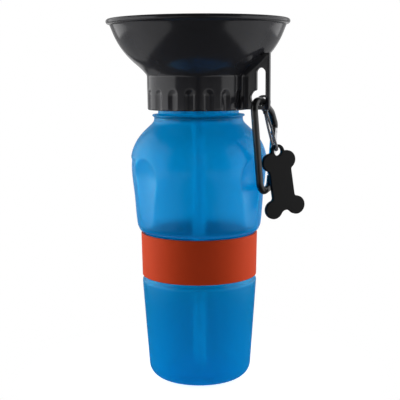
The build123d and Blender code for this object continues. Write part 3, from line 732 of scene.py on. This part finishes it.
cap_thread = screw_thread("cap_thread", collar_bore_r + thread_sunk, neck_r + thread_play,
                          thread_start_z - thread_pitch / 2, cap_black)
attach(cap_thread, "cap")

# ---- valve, seals and dip tube --------------------------------------------------
# The push-pull valve: a polypropylene barrel snapped into the bowl's floor, the spout that
# is pulled up to drink, rubber seals, and a clear tube down to the bottle's floor.


def dress(material, *names):
    """The solids of these names get a material."""
    for name in names:
        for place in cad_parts[name].material_slots:
            place.material = material


# EPDM rubber, cut and moulded: matt black with a fine chalky grain.
seal_rubber, tree, shader = finish("moulded_black_rubber", "1c1c1d", Roughness=0.75)
relief(tree, shader, 0.3, 0.3, 0.05, 3.0)
# Polyethylene tube, extruded and undyed: milky clear, with faint lines along it.
clear_tube, tree, shader = finish("clear_extruded_polyethylene", "eef4f6", Roughness=0.3,
                                  Transmission_Weight=0.8, IOR=1.3)
relief(tree, shader, 0.6, 0.2, 0.1, 1.0, drawn_out=50)
let_through(tree, shader, ("ffffff", 0.06), "e8f0f4")

dress(cap_black, "valve_body", "valve_spout")
dress(seal_rubber, "neck_gasket", "valve_washer", "valve_o_ring")
dress(clear_tube, "dip_tube")

# ---- carabiner ------------------------------------------------------------------
# A key-ring carabiner: a bent aluminium bar, painted black, and a bright tubular gate on a
# steel pin, held shut by a small spring and plunger.

# Enamel over aluminium: gloss black, with a slight orange peel.
bar_enamel, tree, shader = finish("black_enamelled_aluminium", "141415", Roughness=0.28, Coat_Weight=0.4,
                                  Coat_Roughness=0.15)
relief(tree, shader, 0.9, 0.12, 0.1)
# Aluminium tube, drawn and barrelled bright: silver-white, with fine lines along it.
gate_bright, tree, shader = finish("polished_aluminium", "dcdddf", Metallic=1.0, Roughness=0.22)
relief(tree, shader, 0.25, 0.2, 0.03, drawn_out=20)
# Spring steel and pins, cold-drawn: grey and lightly mottled.
spring_steel, tree, shader = finish("drawn_spring_steel", "9a9a9c", Metallic=1.0, Roughness=0.32)
coords = node(tree, "ShaderNodeTexCoord").outputs["Object"]
mottle = node(tree, "ShaderNodeTexNoise", {"Vector": coords, "Scale": 1 / (0.4 * MM), "Detail": 2.0})
dulled = node(tree, "ShaderNodeMapRange", {"Value": mottle.outputs["Fac"], "To Min": 0.25, "To Max": 0.42})
tree.links.new(dulled.outputs["Result"], shader.inputs["Roughness"])

dress(bar_enamel, "carabiner_frame")
dress(gate_bright, "carabiner_gate")
dress(spring_steel, "gate_hinge_pin", "gate_latch_pin", "gate_plunger", "gate_spring")

# ---- bone tag -------------------------------------------------------------------
# A bone-shaped plate with an eyelet, moulded in matt black plastic. It hangs on the cord
# from the carabiner.
eyelet = Vector((55.7, 3.4, 155.0))
tag_yaw, tag_tilt, tag_t, tag_edge = radians(52), radians(9), 3.0, 0.55
eyelet_r, eyelet_hole_r, lobe_round = 4.6, 2.75, 6.0
top_lobe, bottom_lobe, shaft_half = (5.8, -6.4), (8.2, -37.0), 7.9
shaft_blend, eyelet_blend, end_blend = 2.0, 0.8, 4.0

# ABS, moulded in a blasted tool and dyed black: matt, with a fine even grain.
tag_black, tree, shader = finish("matt_black_abs", "0c0c0e", Roughness=0.5, Specular_IOR_Level=0.3)
relief(tree, shader, 0.3, 0.25, 0.05)


def beside_shaft(centre, blend, up):
    """Centre of the fillet between the shaft's right side and a lobe, above or below it."""
    x = shaft_half + blend
    return x, centre[1] + up * sqrt((lobe_round + blend) ** 2 - (x - centre[0]) ** 2)


right = [
    (*beside_shaft(bottom_lobe, shaft_blend, 1), shaft_blend, -1),
    (shaft_half, beside_shaft(bottom_lobe, shaft_blend, 1)[1]),
    (shaft_half, beside_shaft(top_lobe, shaft_blend, -1)[1]),
    (*beside_shaft(top_lobe, shaft_blend, -1), shaft_blend, -1),
    (*top_lobe, lobe_round, 1),
    (*meeting((*top_lobe, lobe_round), (0, 0, eyelet_r), eyelet_blend, left=False), eyelet_blend, -1),
]
mirrored = [(-link[0], *link[1:]) for link in right[::-1]]
left_lobe, right_lobe = (-bottom_lobe[0], bottom_lobe[1], lobe_round), (*bottom_lobe, lobe_round)
notch = meeting(left_lobe, right_lobe, end_blend, left=False)
bone_outline = chained(right + [(0, 0, eyelet_r, 1)] + mirrored
                       + [(*left_lobe, 1), (*notch, end_blend, -1), (*right_lobe, 1)])
eyelet_hole = arc((0, 0), eyelet_hole_r, 0, -360, 40)[:-1]
tag_x = Vector((cos(tag_tilt) * cos(tag_yaw), cos(tag_tilt) * sin(tag_yaw), sin(tag_tilt)))
tag_z = Vector((sin(tag_yaw), -cos(tag_yaw), 0))
tag_place = Matrix.Translation(eyelet) @ Matrix((tag_x, tag_z.cross(tag_x), tag_z)).transposed().to_4x4()
bone = piece("bone_tag_plate", [plate(bone_outline, [eyelet_hole], tag_t, tag_edge, tag_place)], tag_black)
weighted = bone.modifiers.new("weighted", "WEIGHTED_NORMAL")
weighted.weight = 100
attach(bone, "tag")
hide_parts("bone_tag")

# ---- studio ---------------------------------------------------------------------
# A white room with a large soft lamp on each side and little light from the front. The
# floor is white, and so is what lies behind the bottle. In gloss the room is darker.


def from_camera(right_mm, ahead_mm, up_mm):
    """A place given to the right of the bottle, behind it and above the floor, as seen in the picture."""
    return MM * (right_mm * across + ahead_mm * away + Vector((0, 0, up_mm)))


for name, place, size, facing, radiance, glossy in (
    ("left_softbox", (-620, 150, 370), (1.3, 0.75), across, 1.05, True),
    ("right_softbox", (640, 150, 370), (1.3, 0.75), -across, 0.85, True),
    ("left_fill", (-700, 160, 260), (0.5, 0.6), across, 3.3, False),
    ("right_fill", (700, 160, 260), (0.5, 0.6), -across, 3.5, False),
    ("front_fill", (0, -1400, 700), (0.8, 0.8), away, 0.25, False),
):
    lamp = bpy.data.lights.new(name, "AREA")
    lamp.shape = "RECTANGLE"
    lamp.size, lamp.size_y = size
    lamp.energy = radiance * pi * size[0] * size[1]
    lamp_object = bpy.data.objects.new(name, lamp)
    lamp_object.rotation_euler = facing.to_track_quat("-Z", "Y").to_euler()
    lamp_object.location = from_camera(*place)
    lamp_object.visible_glossy = glossy
    scene.collection.objects.link(lamp_object)

room_light, gloss_loss = 0.055, 0.55
world = bpy.data.worlds.new("white_room")
world.use_nodes = True
tree = world.node_tree
tree.nodes.clear()
ray = node(tree, "ShaderNodeLightPath").outputs
ahead = node(tree, "ShaderNodeTexCoord").outputs["Generated"]
ahead = node(tree, "ShaderNodeVectorMath", {0: ahead, 1: tuple(away)}, operation="DOT_PRODUCT")
ahead = ahead.outputs["Value"]
# in gloss and through the bottle the room is nearly dark, but for the backdrop, which is
# dimmer in gloss
room = node(tree, "ShaderNodeMapRange", {"Value": ahead, "From Min": 0.6, "From Max": 0.95,
                                         "To Min": 0.05, "To Max": 1.0}, interpolation_type="SMOOTHSTEP")
mirror = node(tree, "ShaderNodeMath", {0: ray["Is Glossy Ray"], 1: ray["Is Transmission Ray"]},
              operation="MAXIMUM")
dimmed = node(tree, "ShaderNodeMath", {0: ray["Is Glossy Ray"], 1: -gloss_loss, 2: 1.0},
              operation="MULTIPLY_ADD")
dimmed = node(tree, "ShaderNodeMath", {0: dimmed, 1: room.outputs["Result"]}, operation="MULTIPLY")
strength = node(tree, "ShaderNodeMix", {"Factor": mirror, "A": room_light, "B": dimmed})
strength = node(tree, "ShaderNodeMix", {"Factor": ray["Is Camera Ray"], "A": strength, "B": 1.0})
white = node(tree, "ShaderNodeBackground", {"Color": srgb("ffffff"), "Strength": strength})
node(tree, "ShaderNodeOutputWorld", {"Surface": white})
scene.world = world

floor_mat = bpy.data.materials.new("white_paper")
floor_mat.use_nodes = True
tree = floor_mat.node_tree
tree.nodes.clear()
paper = node(tree, "ShaderNodeBsdfDiffuse", {"Color": srgb("c8c8c8")})
place = node(tree, "ShaderNodeTexCoord").outputs["Object"]
# seen straight on, the paper is white but for the shadow round the bottle's foot
far = node(tree, "ShaderNodeVectorMath", {0: place}, operation="LENGTH").outputs["Value"]
far = node(tree, "ShaderNodeMapRange", {"Value": far, "From Min": 0.03, "From Max": 0.13},
           interpolation_type="SMOOTHSTEP")
white_glow = node(tree, "ShaderNodeEmission", {"Strength": 1.0})
near_glow = node(tree, "ShaderNodeEmission", {"Strength": 0.84})
near_paper = node(tree, "ShaderNodeAddShader", {0: paper, 1: near_glow})
shown = node(tree, "ShaderNodeMixShader", {"Fac": far.outputs["Result"], 1: near_paper, 2: white_glow})
# in gloss, a dark table stands between two white side papers and the backdrop: it is
# table_half metres wide each way, and wider from table_start behind the bottle
table_half, table_start, table_spread, paper_glow, table_glow = 0.19, 0.2, 0.33, 0.6, 0.05
behind = node(tree, "ShaderNodeVectorMath", {0: place, 1: tuple(away)}, operation="DOT_PRODUCT")
behind = behind.outputs["Value"]
beside = node(tree, "ShaderNodeVectorMath", {0: place, 1: tuple(across)}, operation="DOT_PRODUCT")
beside = node(tree, "ShaderNodeMath", {0: beside.outputs["Value"]}, operation="ABSOLUTE")
table = node(tree, "ShaderNodeMath", {0: behind, 1: -table_start}, operation="ADD")
table = node(tree, "ShaderNodeMath", {0: table, 1: 0.0}, operation="MAXIMUM")
table = node(tree, "ShaderNodeMath", {0: table, 1: table_spread, 2: table_half}, operation="MULTIPLY_ADD")
gap = node(tree, "ShaderNodeMath", {0: beside, 1: table}, operation="SUBTRACT")
side_paper = node(tree, "ShaderNodeMapRange", {"Value": gap, "From Min": 0.0, "From Max": 0.03},
                  interpolation_type="SMOOTHSTEP")
backdrop = node(tree, "ShaderNodeMapRange", {"Value": gap, "From Min": -0.02, "From Max": -0.05},
                interpolation_type="SMOOTHSTEP")
reach = node(tree, "ShaderNodeMapRange", {"Value": behind, "From Min": 0.15, "From Max": 0.35},
             interpolation_type="SMOOTHSTEP")
backdrop = node(tree, "ShaderNodeMath", {0: backdrop, 1: reach}, operation="MULTIPLY")
# the side papers are lit best beside the bottle, and less behind it
fading = node(tree, "ShaderNodeMapRange", {"Value": behind, "From Min": -0.05, "From Max": 0.3,
                                           "To Min": 1.0, "To Max": 0.45}, interpolation_type="SMOOTHSTEP")
side_paper = node(tree, "ShaderNodeMath", {0: side_paper, 1: fading}, operation="MULTIPLY")
bright = node(tree, "ShaderNodeMath", {0: side_paper, 1: backdrop}, operation="MAXIMUM")
bright = node(tree, "ShaderNodeMath", {0: bright, 1: paper_glow, 2: table_glow}, operation="MULTIPLY_ADD")
in_gloss = node(tree, "ShaderNodeEmission", {"Strength": bright})
ray = node(tree, "ShaderNodeLightPath").outputs
seen = node(tree, "ShaderNodeMath", {0: ray["Is Transmission Ray"], 1: ray["Is Camera Ray"]},
            operation="MAXIMUM")
surface = node(tree, "ShaderNodeMixShader", {"Fac": seen, 1: paper, 2: shown})
surface = node(tree, "ShaderNodeMixShader", {"Fac": ray["Is Glossy Ray"], 1: surface, 2: in_gloss})
node(tree, "ShaderNodeOutputMaterial", {"Surface": surface})
floor_half, floor_z = 3000, -0.2
corners = [(x * floor_half, y * floor_half, floor_z) for x, y in ((-1, -1), (1, -1), (1, 1), (-1, 1))]
floor = piece("floor", [(corners, [(0, 1, 2, 3)])], floor_mat)
